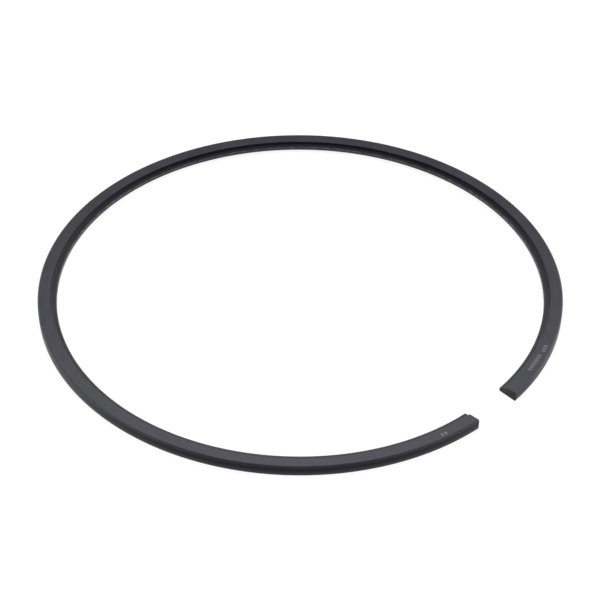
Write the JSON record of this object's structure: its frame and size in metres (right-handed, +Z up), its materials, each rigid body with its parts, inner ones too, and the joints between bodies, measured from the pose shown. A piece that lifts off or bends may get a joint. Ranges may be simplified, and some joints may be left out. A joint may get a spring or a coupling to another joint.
{
  "type": "piston compression ring",
  "caption": "Split compression ring for a large piston, free and open: a keystone wall with a stepped upper inner edge and a barrel-shaped running face.",
  "frame": {"origin": "on the floor that the ring rests on, at the centre of the box that just holds it", "axes": "+Z up through the ring, towards its stepped side; the gap between its ends faces -Y, and the ring is symmetric about the YZ plane"},
  "size_m": [0.1246, 0.1224, 0.0025],
  "materials": {
    "ring_steel": "satin, dark oxide, fine ground lay"
  },
  "bodies": {
    "root": {"piston_ring": "ring_steel"}
  },
  "joints": []
}
